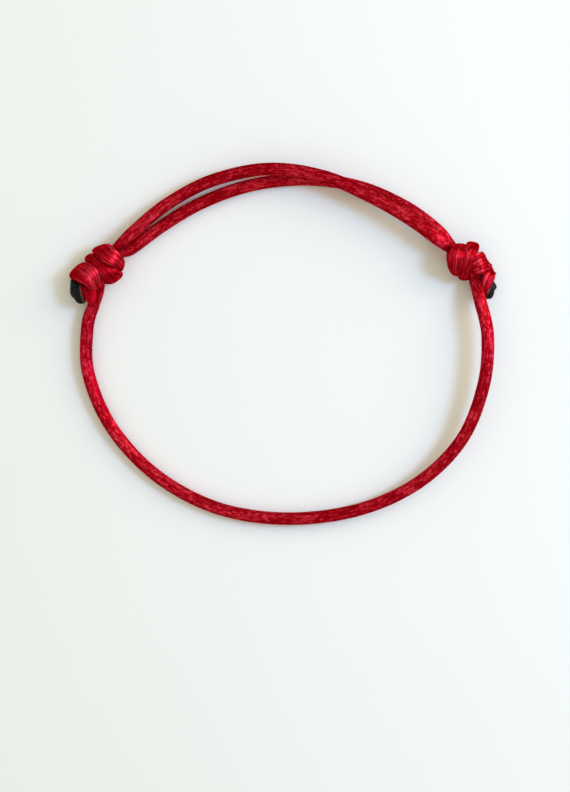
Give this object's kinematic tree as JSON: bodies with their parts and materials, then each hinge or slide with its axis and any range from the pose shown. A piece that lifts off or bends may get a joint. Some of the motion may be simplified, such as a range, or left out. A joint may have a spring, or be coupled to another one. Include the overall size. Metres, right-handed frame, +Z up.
{
  "type": "cord bracelet",
  "caption": "Adjustable wrist bracelet of thin satin cord, closed by two sliding knots whose short tails end in melted tips.",
  "frame": {"origin": "middle of the bracelet's box, on the surface that it lies on", "axes": "+X to the right knot along the longest side, +Y to the side where the cord runs double, +Z up from the surface through the wrist opening"},
  "size_m": [0.0679, 0.0576, 0.0056],
  "materials": {
    "satin_cord": "woven satin, deep crimson with a silky sheen",
    "melted_tip": "burnt and melted thread, black and half glossy"
  },
  "bodies": {
    "root": {"cord": "satin_cord", "left_knot": "satin_cord", "left_cord_end": "satin_cord", "left_sealed_tip": "melted_tip", "right_knot": "satin_cord", "right_cord_end": "satin_cord", "right_sealed_tip": "melted_tip"}
  },
  "joints": []
}
